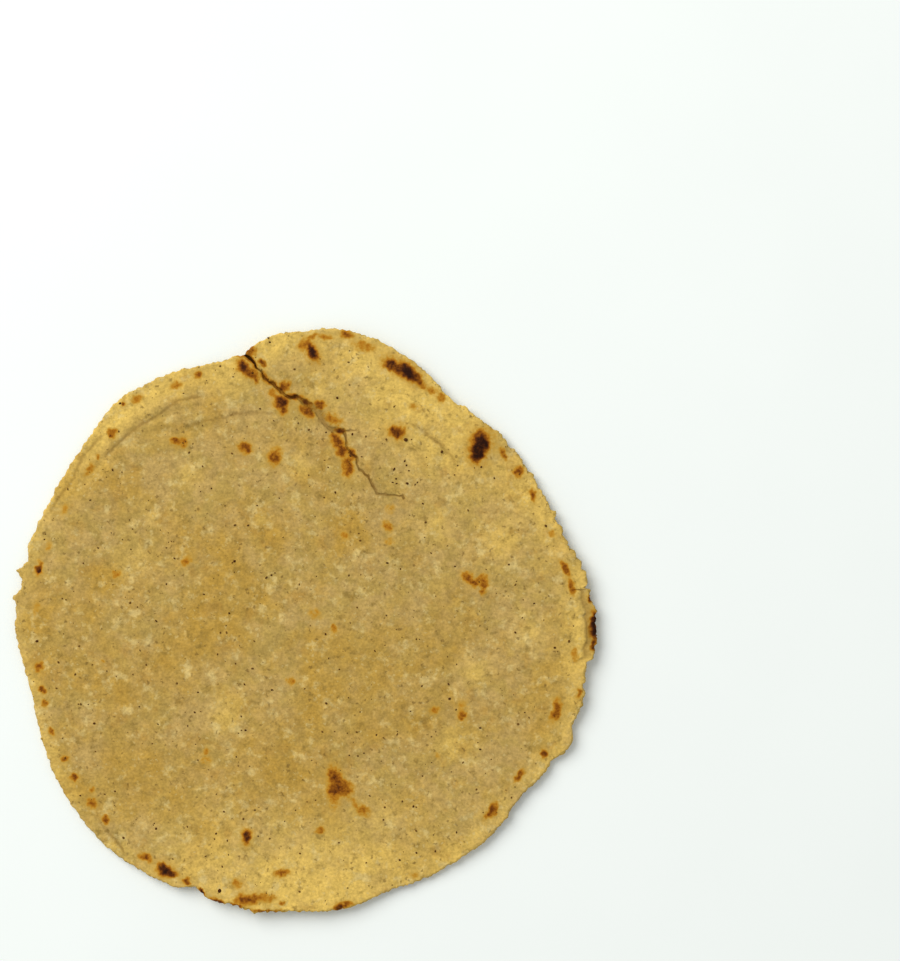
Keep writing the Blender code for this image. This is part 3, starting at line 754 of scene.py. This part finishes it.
def add_disc(bm, rings, level):
    """Adds a disc of near-equal triangles at one level of the unit slab.

    It is made at level 0 and then moved, so the disc that stays at level 0 is added last.
    """
    bmesh.ops.create_circle(bm, cap_ends=True, cap_tris=True, segments=FAN_SIDES, radius=1.0)
    fan = [e for e in bm.edges if e.verts[0].co.z == 0.0]
    bmesh.ops.subdivide_edges(bm, edges=fan, cuts=rings - 1, use_grid_fill=True)
    for vert in bm.verts:
        if vert.co.z == 0.0:
            round_from_hexagon(vert.co)
            vert.co.z = level
    refine(bm, level)


def unit_slab():
    """A closed slab of radius 1 and height 1, with a fine upper face and a coarser underside."""
    bm = bmesh.new()
    add_disc(bm, UPPER_RINGS, 1.0)
    add_disc(bm, UNDER_RINGS, 0.0)
    rims = [e for e in bm.edges if e.is_boundary]
    wall = bmesh.ops.bridge_loops(bm, edges=rims)
    uprights = {e for f in wall["faces"] for e in f.edges if e.verts[0].co.z != e.verts[1].co.z}
    bmesh.ops.subdivide_edges(bm, edges=list(uprights), cuts=WALL_ROWS)
    bmesh.ops.recalc_face_normals(bm, faces=bm.faces[:])
    return bm


def linear(red, green, blue):
    """A colour given as seen on a screen, from 0 to 255, in linear light."""
    parts = []
    for part in (red, green, blue):
        share = part / 255.0
        parts.append(share / 12.92 if share <= 0.04045 else ((share + 0.055) / 1.055) ** 2.4)
    return tuple(parts)


def linked(name, data):
    """Makes an object and links it to the scene."""
    made = bpy.data.objects.new(name, data)
    bpy.context.scene.collection.objects.link(made)
    return made


def object_from(bm, name, material):
    """Makes an object from a bmesh, which is then freed."""
    mesh = bpy.data.meshes.new(name)
    bm.to_mesh(mesh)
    bm.free()
    mesh.materials.append(material)
    return linked(name, mesh)


def piece_from(bm, name, material, attributes):
    """Makes a piece of the tortilla, which rides on the one body, with values at its points."""
    piece = object_from(bm, name, material)
    for key, values in attributes.items():
        layer = piece.data.attributes.new(key, "FLOAT", "POINT")
        layer.data.foreach_set("value", np.asarray(values, dtype=np.float32))
    piece.data.shade_smooth()
    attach(piece, BODY)
    return piece


# Where most of a noise's values lie.
NOISE_RANGE = (0.3, 0.7)
# How much of a speck's radius is full.
SPECK_CORE = 0.2


class Recipe:
    """One material's nodes, added and linked in reading order."""

    def __init__(self, name, gloss):
        self.material = bpy.data.materials.new(name)
        self.material.use_nodes = True
        self.nodes = self.material.node_tree.nodes
        self.links = self.material.node_tree.links
        self.shader = self.nodes["Principled BSDF"]
        self.shader.inputs["Specular IOR Level"].default_value = gloss
        self.place = self.nodes.new("ShaderNodeTexCoord").outputs["Object"]

    def feed(self, socket, value):
        """Links a socket to an output, or sets it to a constant."""
        if isinstance(value, bpy.types.NodeSocket):
            self.links.new(value, socket)
        elif isinstance(value, tuple) and len(value) == 3 and socket.type == "RGBA":
            socket.default_value = (*value, 1.0)
        else:
            socket.default_value = value

    def add(self, kind, inputs, **properties):
        """Adds a node, sets its properties, feeds its inputs by name or number, and gives its
        outputs."""
        node = self.nodes.new(f"ShaderNode{kind}")
        for key, value in properties.items():
            setattr(node, key, value)
        for key, value in inputs.items():
            self.feed(node.inputs[key], value)
        return node.outputs

    def attribute(self, name):
        return self.add("Attribute", {}, attribute_name=name)["Fac"]

    def shifted(self, offset):
        """The place, moved if asked, so that two patterns of one size don't coincide."""
        if offset is None:
            return self.place
        return self.add("Mapping", {"Vector": self.place, "Location": offset})["Vector"]

    def noise(self, size, detail=2.0, roughness=0.5, offset=None):
        """A cloudy pattern from 0 to 1, its features about size across, in metres."""
        inputs = {"Scale": 1.0 / size, "Detail": detail, "Roughness": roughness}
        return self.add("TexNoise", {"Vector": self.shifted(offset), **inputs})["Fac"]

    def specks(self, size, radius, share, ragged, offset=None):
        """Specks from 0 to 1: size of their cells, share of a cell that one covers, share of the
        cells that have one, and a noise that makes their borders ragged."""
        cells = self.add("TexVoronoi", {"Vector": self.shifted(offset), "Scale": 1.0 / size})
        red = self.add("SeparateColor", {"Color": cells["Color"]})["Red"]
        chosen = self.math("LESS_THAN", red, share)
        border = self.span(ragged, *NOISE_RANGE, -radius, radius)
        distance = self.math("ADD", cells["Distance"], border)
        return self.math("MULTIPLY", chosen, self.span(distance, radius, radius * SPECK_CORE))

    def math(self, operation, first, second):
        return self.add("Math", {0: first, 1: second}, operation=operation)[0]

    def span(self, value, low, high, to_low=0.0, to_high=1.0):
        """Maps low to to_low and high to to_high, smoothly and clamped."""
        inputs = dict(enumerate((value, low, high, to_low, to_high)))
        return self.add("MapRange", inputs, interpolation_type="SMOOTHSTEP")["Result"]

    def mix(self, factor, under, over):
        return self.add("Mix", {"Factor": factor, 6: under, 7: over}, data_type="RGBA")[2]

    def lighten(self, colour, value):
        """Scales a colour by a value about 1."""
        return self.add("VectorMath", {0: colour, "Scale": value}, operation="SCALE")[0]

    def ramp(self, value, stops):
        node = self.nodes.new("ShaderNodeValToRGB")
        elements = node.color_ramp.elements
        while len(elements) < len(stops):
            elements.new(0.5)
        for element, (position, colour) in zip(elements, stops):
            element.position = position
            element.color = (*colour, 1.0)
        self.feed(node.inputs["Fac"], value)
        return node.outputs["Color"]

    def relief(self, height, distance, strength):
        inputs = {"Strength": strength, "Distance": distance, "Height": height}
        self.feed(self.shader.inputs["Normal"], self.add("Bump", inputs)["Normal"])

    def finish(self, colour, roughness):
        self.feed(self.shader.inputs["Base Color"], colour)
        self.feed(self.shader.inputs["Roughness"], roughness)
        return self.material


# Colours of the toasting as it goes on, with how far on each is.
TOAST_STOPS = (
    (0.06, linear(196, 157, 72)),
    (0.26, linear(190, 144, 50)),
    (0.45, linear(176, 117, 27)),
    (0.64, linear(134, 76, 11)),
    (0.82, linear(82, 39, 7)),
    (1.0, linear(42, 17, 7)),
)


# Noises of the dough: size in metres, detail, roughness, and where one is shifted to.
BROAD = (0.024, 3.0, 0.55)
CLOUD = (0.0075, 4.0, 0.6)
MOTTLE = (0.0024, 4.0, 0.65)
MASA = (0.0007, 2.0, 0.6)
OLIVE_CLOUD = (0.006, 3.0, 0.6, (0.4, 0.2, 0.0))
STIPPLE = (0.0011, 4.0, 0.65, (0.2, 0.3, 0.0))
# Blotches over its colours, pale bloom, dull smudges and warm tan: the noise of each, where in that
# it begins and is full, how strong it is then, and its colour.
BLOTCHES = (
    ((0.0032, 4.0, 0.6, (0.7, 0.1, 0.0)), (0.53, 0.7), 0.66, linear(212, 188, 122)),
    ((0.0027, 4.0, 0.68, (0.3, 0.1, 0.0)), (0.54, 0.72), 0.7, linear(140, 113, 52)),
    ((0.0048, 3.0, 0.6, (0.1, 0.6, 0.0)), (0.56, 0.72), 0.5, linear(172, 132, 58)),
)
# How far the mottling and the masa's grain darken and lighten it, where their noise has its range.
SHADE_RANGE = (0.28, 0.72)
MOTTLE_SHADES = (0.85, 1.15)
MASA_SHADES = (0.86, 1.14)
# Specks of germ and of bran: size of their cells, share of a cell that one covers, share of the
# cells that have one, shift, strength and colour.
SPECKS = (
    (0.0016, 0.24, 0.4, None, 0.45, linear(220, 196, 130)),
    (0.0018, 0.22, 0.35, (0.1, 0.2, 0.0), 0.55, linear(112, 84, 38)),
)
SINGED_CRACK = linear(58, 28, 8)
MASA_RELIEF = 0.00022
HULL_PALEST = linear(124, 86, 32)


def dough_material():
    """Maize dough, tan in the field, golden in patches, pale at the rim and toasted in spots."""
    colours = bpy.context.scene.tortilla_dough
    recipe = Recipe("toasted_maize_dough", 0.07)
    broad, cloud = recipe.noise(*BROAD), recipe.noise(*CLOUD)
    mottle, grain = recipe.noise(*MOTTLE), recipe.noise(*MASA)

    gold = recipe.math("ADD", recipe.attribute("gold"), recipe.span(broad, 0.42, 0.66, 0.0, 0.6))
    gold = recipe.math("ADD", gold, recipe.span(cloud, 0.42, 0.66, -0.2, 0.35))
    dullness = recipe.span(recipe.noise(*OLIVE_CLOUD), 0.4, 0.62)
    colour = recipe.mix(dullness, tuple(colours.field), tuple(colours.olive))
    colour = recipe.mix(gold, colour, tuple(colours.golden))
    clouding = recipe.span(cloud, 0.3, 0.6, 0.5, 1.1)
    paleness = recipe.math("MULTIPLY", recipe.attribute("pale"), clouding)
    colour = recipe.mix(paleness, colour, tuple(colours.rim))

    for pattern, spread, strength, blotch in BLOTCHES:
        amount = recipe.span(recipe.noise(*pattern), *spread, 0.0, strength)
        colour = recipe.mix(amount, colour, blotch)
    colour = recipe.lighten(colour, recipe.span(mottle, *SHADE_RANGE, *MOTTLE_SHADES))
    colour = recipe.lighten(colour, recipe.span(grain, *SHADE_RANGE, *MASA_SHADES))
    for size, radius, share, shift, strength, speck in SPECKS:
        specks = recipe.specks(size, radius, share, grain, shift)
        colour = recipe.mix(recipe.math("MULTIPLY", specks, strength), colour, speck)

    toast = recipe.attribute("toast")
    stipple = recipe.span(recipe.noise(*STIPPLE), *NOISE_RANGE, -0.14, 0.14)
    stipple = recipe.math("MULTIPLY", stipple, recipe.span(toast, 0.05, 0.4))
    toast = recipe.math("ADD", toast, stipple)
    toasted = recipe.ramp(toast, TOAST_STOPS)
    colour = recipe.mix(recipe.span(toast, 0.03, 0.36), colour, toasted)
    # Painted shade from the crease attribute, in the crack, the creases and on the ledge.
    darkening = recipe.span(mottle, 0.35, 0.6, 0.6, 1.1)
    walls = recipe.math("MULTIPLY", recipe.attribute("crease"), darkening)
    crack_shade_colour = recipe.mix(recipe.span(toast, 0.2, 0.6), tuple(colours.crack), SINGED_CRACK)
    colour = recipe.mix(walls, colour, crack_shade_colour)

    coarse, fine = recipe.math("MULTIPLY", mottle, 0.6), recipe.math("MULTIPLY", grain, 0.5)
    recipe.relief(recipe.math("ADD", coarse, fine), MASA_RELIEF, 0.7)
    return recipe.finish(colour, recipe.span(toast, 0.3, 0.9, 0.8, 0.66))


def hull_material():
    """Bits of maize hull and tip, dark brown to tan."""
    recipe = Recipe("maize_hull", 0.1)
    darkest = tuple(bpy.context.scene.tortilla_flecks.colour)
    colour = recipe.mix(recipe.attribute("tone"), darkest, HULL_PALEST)
    shade = recipe.span(recipe.noise(0.0002), *NOISE_RANGE, 0.85, 1.15)
    return recipe.finish(recipe.lighten(colour, shade), 0.8)


def floor_material():
    recipe = Recipe("pale_table", 0.1)
    shade = recipe.span(recipe.noise(0.05), *NOISE_RANGE, 0.995, 1.005)
    return recipe.finish(recipe.lighten(tuple(bpy.context.scene.tortilla_stage.floor), shade), 0.9)


def length_setting(name, description, default, low, high):
    return FloatProperty(
        name=name, description=description, default=default, min=low, max=high, precision=5,
        unit="LENGTH", subtype="DISTANCE",
    )


def share_setting(name, description, high, low=0.0):
    return FloatProperty(
        name=name, description=f"{description}, as a share of the usual",
        default=1.0, min=low, max=high, subtype="FACTOR",
    )


def colour_setting(name, description, default):
    return FloatVectorProperty(
        name=name, description=description, default=default, min=0.0, max=1.0, subtype="COLOR"
    )


def count_setting(name, description, default, high):
    return IntProperty(name=name, description=description, default=default, min=0, max=high)


class RoundSettings(PropertyGroup):
    """Sizes of the pressed round."""

    mean_radius: length_setting("Mean radius", "Of the pressed dough", 0.074, 0.04, 0.1)
    thickness: length_setting("Thickness", "In the middle", 0.002, 0.001, 0.005)
    rim_thickness: length_setting("Rim thickness", "At the rim", 0.00135, 0.0005, 0.004)
    rim_lift: share_setting("Rim lift", "How far the rim curls up", 2.0)
    grain: share_setting("Grain", "Height of the masa's grain", 3.0)
    crack_width: share_setting("Crack width", "Width of the crack", 2.0, 0.2)
    crack_depth: share_setting("Crack depth", "Depth of the crack", 1.5)
    toasting: share_setting("Toasting", "How toasted the marks are", 1.2)


class DoughSettings(PropertyGroup):
    """Colours of the dough."""

    field: colour_setting("Field", "Tan of the masa in the field", linear(185, 154, 90))
    olive: colour_setting("Olive", "Duller tan between the clouds", linear(178, 149, 79))
    golden: colour_setting("Golden", "Gold of the better cooked patches", linear(181, 144, 64))
    rim: colour_setting("Rim", "Pale gold of the rim", linear(219, 184, 94))
    # The crack colour is that of the painted shade in the crack, the creases and on the ledge.
    crack: colour_setting("Crack", "Walls of the crack and creases", linear(112, 78, 26))


class FleckSettings(PropertyGroup):
    """Numbers and sizes of the hull flecks and crumbs."""

    upper_count: count_setting("Upper flecks", "Small ones scattered on the upper face", 520, 2000)
    under_count: count_setting("Under flecks", "Those scattered on the underside", 360, 2000)
    smallest: length_setting("Smallest fleck", "Its half length", 0.00013, 0.00005, 0.001)
    largest: length_setting("Largest fleck", "Half length, if scattered", 0.00042, 0.00005, 0.001)
    crumb_count: count_setting("Rim crumbs", "Crumbs that cling to the rim", 90, 400)
    colour: colour_setting("Hull", "Dark brown of the hull", linear(68, 33, 8))


class StageSettings(PropertyGroup):
    """Floor, light and camera."""

    floor: colour_setting("Floor", "Colour of the table", (0.925, 0.97, 0.95))
    key_power: FloatProperty(
        name="Key light", description="Power of the soft light from the upper left",
        default=27.3, min=0.0, max=200.0, unit="POWER",
    )
    sky: FloatProperty(
        name="Sky", description="Strength of the even light from all round",
        default=0.5, min=0.0, max=3.0,
    )
    camera_height: length_setting("Camera height", "Above the table", 0.55, 0.1, 3.0)


# Flecks: how far out they go, how they crowd together, their shares of width and thickness, how far
# their middles stand out from the face as a share of that thickness, and their tilt.
FLECK_SEED = 41
FLECK_REACH = 0.97
CROWDING_SIZE = 9.0
CROWDING_MEAN = 0.75
FLECK_WIDTHS = (0.45, 0.9)
FLECK_FLATNESS = 0.45
FLECK_SINK = 0.25
FLECK_TILT = 0.2
# The scattered ones of each face: how far small ones outnumber large ones, the largest as a share
# of the setting, and the palest tone. The large ones are all dark.
UPPER_FLECKS = (2.2, 1.0, 0.8)
UNDER_FLECKS = (2.0, 1.4, 1.0)
LARGE_FLECK_TONE = 0.25

# Crumbs: half sizes, shares of width and height, distance in from the rim, how deep they sit in
# their size, and how uneven they are: size and height.
CRUMB_SEED = 17
CRUMB_SIZES = (0.14, 0.42)
CRUMB_WIDTHS = (0.6, 1.0)
CRUMB_HEIGHTS = (0.5, 0.8)
CRUMB_INSETS = (0.1, 0.5)
CRUMB_SINK = (0.1, 1.2)
CRUMB_KNOBS = (0.35, 0.06)


def add_lump(bm, point, sizes, turns, subdivisions):
    """Adds a small lump, its sizes in millimetres, and gives the number of its vertices."""
    turned = Matrix.Translation(Vector(point) * MM) @ Euler(turns).to_matrix().to_4x4()
    place = turned @ Matrix.Diagonal((*(size * MM for size in sizes), 1.0))
    known = len(bm.verts)
    bmesh.ops.create_icosphere(bm, subdivisions=subdivisions, radius=1.0, matrix=place)
    return len(bm.verts) - known


def scattered_places(draw, count):
    """Plan positions spread evenly over the round, and drawn together in places."""
    places = []
    while len(places) < count:
        distance = in_mm("mean_radius") * FLECK_REACH * math.sqrt(draw.random())
        x, y = at(draw.uniform(0.0, math.tau), distance)
        crowding = noise.noise((x / CROWDING_SIZE, y / CROWDING_SIZE, CROWDING_LAYER))
        if draw.random() < CROWDING_MEAN + crowding:
            places.append((x, y))
    return places


def scattered_flecks(draw, count, kind):
    """Flecks of one face: x, y, half length, turn and tone."""
    settings = bpy.context.scene.tortilla_flecks
    smallness, stretch, palest = kind
    low, high = settings.smallest / MM, settings.largest / MM * stretch
    flecks = []
    for x, y in scattered_places(draw, count):
        half = low + (high - low) * draw.random() ** smallness
        flecks.append((x, y, half, draw.uniform(0.0, FULL_TURN), draw.uniform(0.0, palest)))
    return flecks


class PressRound(Operator):
    """Models the pressed round with its relief and toasted marks, in place of the plain one"""

    bl_idname = "tortilla.press_round"
    bl_label = "Press the round"

    def execute(self, context):
        bm = unit_slab()
        unit = np.array([v.co for v in bm.verts])
        points, colouring = shaped(unit)
        for vert, point in zip(bm.verts, points * MM):
            vert.co = point
        if sum(len(f.verts) - 2 for f in bm.faces) > MOST_TRIANGLES:
            raise RuntimeError("the round has too many triangles: lower its rings")
        piece = piece_from(bm, "pressed_masa_round", dough_material(), colouring)
        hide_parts(NODE)
        return {"FINISHED"}


class ScatterFlecks(Operator):
    """Presses bits of maize hull into both faces"""

    bl_idname = "tortilla.scatter_flecks"
    bl_label = "Scatter hull flecks"

    def execute(self, context):
        settings = context.scene.tortilla_flecks
        draw = random.Random(FLECK_SEED)
        bm = bmesh.new()
        tones = []
        upper = [(*fleck, draw.uniform(0.0, LARGE_FLECK_TONE)) for fleck in LARGE_FLECKS]
        upper += scattered_flecks(draw, settings.upper_count, UPPER_FLECKS)
        under = scattered_flecks(draw, settings.under_count, UNDER_FLECKS)
        for level, flecks in ((1.0, upper), (0.0, under)):
            x, y, half, turn, tone = np.array(flecks).T
            points, _ = on_face(x, y, level)
            for point, size, angle, shade in zip(points, half, turn, tone):
                thick = size * FLECK_FLATNESS
                point[2] += thick * FLECK_SINK * (1.0 if level else -1.0)
                point[2] = max(point[2], thick)
                tilts = [draw.uniform(-FLECK_TILT, FLECK_TILT) for _ in range(2)]
                sizes = (size, size * draw.uniform(*FLECK_WIDTHS), thick)
                tones += [shade] * add_lump(bm, point, sizes, (*tilts, math.radians(angle)), 1)
        piece_from(bm, "maize_hull_flecks", hull_material(), {"tone": tones})
        return {"FINISHED"}


class CrumbleRim(Operator):
    """Leaves small crumbs of dough on the rim"""

    bl_idname = "tortilla.crumble_rim"
    bl_label = "Crumble the rim"

    def execute(self, context):
        draw = random.Random(CRUMB_SEED)
        count = context.scene.tortilla_flecks.crumb_count
        angles = np.array([draw.uniform(0.0, FULL_TURN) for _ in range(count)])
        inset = np.array([draw.uniform(*CRUMB_INSETS) for _ in range(count)])
        points, colouring = placed(angles, rim_radius(angles) - inset, np.ones_like(angles))
        bm = bmesh.new()
        layers = {key: [] for key in colouring}
        for index, point in enumerate(points):
            size = draw.uniform(*CRUMB_SIZES)
            width, height = draw.uniform(*CRUMB_WIDTHS), draw.uniform(*CRUMB_HEIGHTS)
            turns = tuple(draw.uniform(0.0, math.tau) for _ in range(3))
            point[2] -= size * draw.uniform(*CRUMB_SINK)
            added = add_lump(bm, point, (size, size * width, size * height), turns, 2)
            for key, values in layers.items():
                values += [colouring[key][index]] * added
        knob_size, knob_height = CRUMB_KNOBS
        for vert in bm.verts:
            vert.co += noise.noise_vector(vert.co / (knob_size * MM)) * knob_height * MM
        piece_from(bm, "rim_crumbs", bpy.data.materials["toasted_maize_dough"], layers)
        return {"FINISHED"}


# The stage: the plan position under the camera, the length that the image's long side covers
# there, and where the soft light hangs from, all in millimetres.
VIEW_CENTRE = (37.4, 36.0)
VIEW_LENGTH = 249.0
FLOOR_RADIUS = 4000.0
FLOOR_SIDES = 96
LIGHT_PLACE = (-900.0, 920.0, 1250.0)
LIGHT_SIZE = 1400.0
LIGHT_COLOUR = (1.0, 0.985, 0.955)
SKY_COLOUR = (0.985, 1.0, 0.995, 1.0)
SENSOR = 36.0
CLIP_START, CLIP_END = 10.0, 20000.0


class SetStage(Operator):
    """Adds the pale table, the soft light and the camera"""

    bl_idname = "tortilla.set_stage"
    bl_label = "Set the stage"

    def execute(self, context):
        settings = context.scene.tortilla_stage
        bm = bmesh.new()
        bmesh.ops.create_circle(bm, cap_ends=True, segments=FLOOR_SIDES, radius=FLOOR_RADIUS * MM)
        floor = object_from(bm, "table", floor_material())

        light = bpy.data.lights.new("window", "AREA")
        light.shape = "DISK"
        light.size = LIGHT_SIZE * MM
        light.energy = settings.key_power
        light.color = LIGHT_COLOUR
        window = linked("window", light)
        window.location = Vector(LIGHT_PLACE) * MM
        window.rotation_euler = (-window.location).to_track_quat("-Z", "Y").to_euler()

        world = bpy.data.worlds.new("even_light")
        world.use_nodes = True
        background = world.node_tree.nodes["Background"]
        background.inputs["Color"].default_value = SKY_COLOUR
        background.inputs["Strength"].default_value = settings.sky
        context.scene.world = world
        context.scene.view_settings.view_transform = "Standard"

        lens = bpy.data.cameras.new("camera")
        lens.sensor_width = SENSOR
        lens.lens = SENSOR * settings.camera_height / MM / VIEW_LENGTH
        lens.clip_start, lens.clip_end = CLIP_START * MM, CLIP_END * MM
        camera = linked("camera", lens)
        camera.location = (VIEW_CENTRE[0] * MM, VIEW_CENTRE[1] * MM, settings.camera_height)
        context.scene.camera = camera
        return {"FINISHED"}


class TortillaPanel(Panel):
    """Lists the steps and their settings"""

    bl_idname = "VIEW3D_PT_tortilla"
    bl_label = "Tortilla"
    bl_space_type = "VIEW_3D"
    bl_region_type = "UI"
    bl_category = "Tortilla"

    def draw(self, context):
        for title, key, operators in (
            ("Round", "tortilla_round", ("tortilla.press_round",)),
            ("Dough", "tortilla_dough", ()),
            ("Flecks and crumbs", "tortilla_flecks",
             ("tortilla.scatter_flecks", "tortilla.crumble_rim")),
            ("Stage", "tortilla_stage", ("tortilla.set_stage",)),
        ):
            box = self.layout.box()
            box.label(text=title)
            settings = getattr(context.scene, key)
            for name in settings.__annotations__:
                box.prop(settings, name)
            for operator in operators:
                box.operator(operator)


SETTINGS = {
    "tortilla_round": RoundSettings,
    "tortilla_dough": DoughSettings,
    "tortilla_flecks": FleckSettings,
    "tortilla_stage": StageSettings,
}
OPERATORS = (PressRound, ScatterFlecks, CrumbleRim, SetStage)


def register():
    for cls in (*SETTINGS.values(), *OPERATORS, TortillaPanel):
        bpy.utils.register_class(cls)
    for key, cls in SETTINGS.items():
        setattr(bpy.types.Scene, key, PointerProperty(type=cls))


def unregister():
    for key in SETTINGS:
        delattr(bpy.types.Scene, key)
    for cls in reversed((*SETTINGS.values(), *OPERATORS, TortillaPanel)):
        bpy.utils.unregister_class(cls)


def main():
    register()
    bpy.ops.tortilla.set_stage()
    bpy.ops.tortilla.press_round()
    bpy.ops.tortilla.scatter_flecks()
    bpy.ops.tortilla.crumble_rim()


if __name__ == "__main__":
    main()
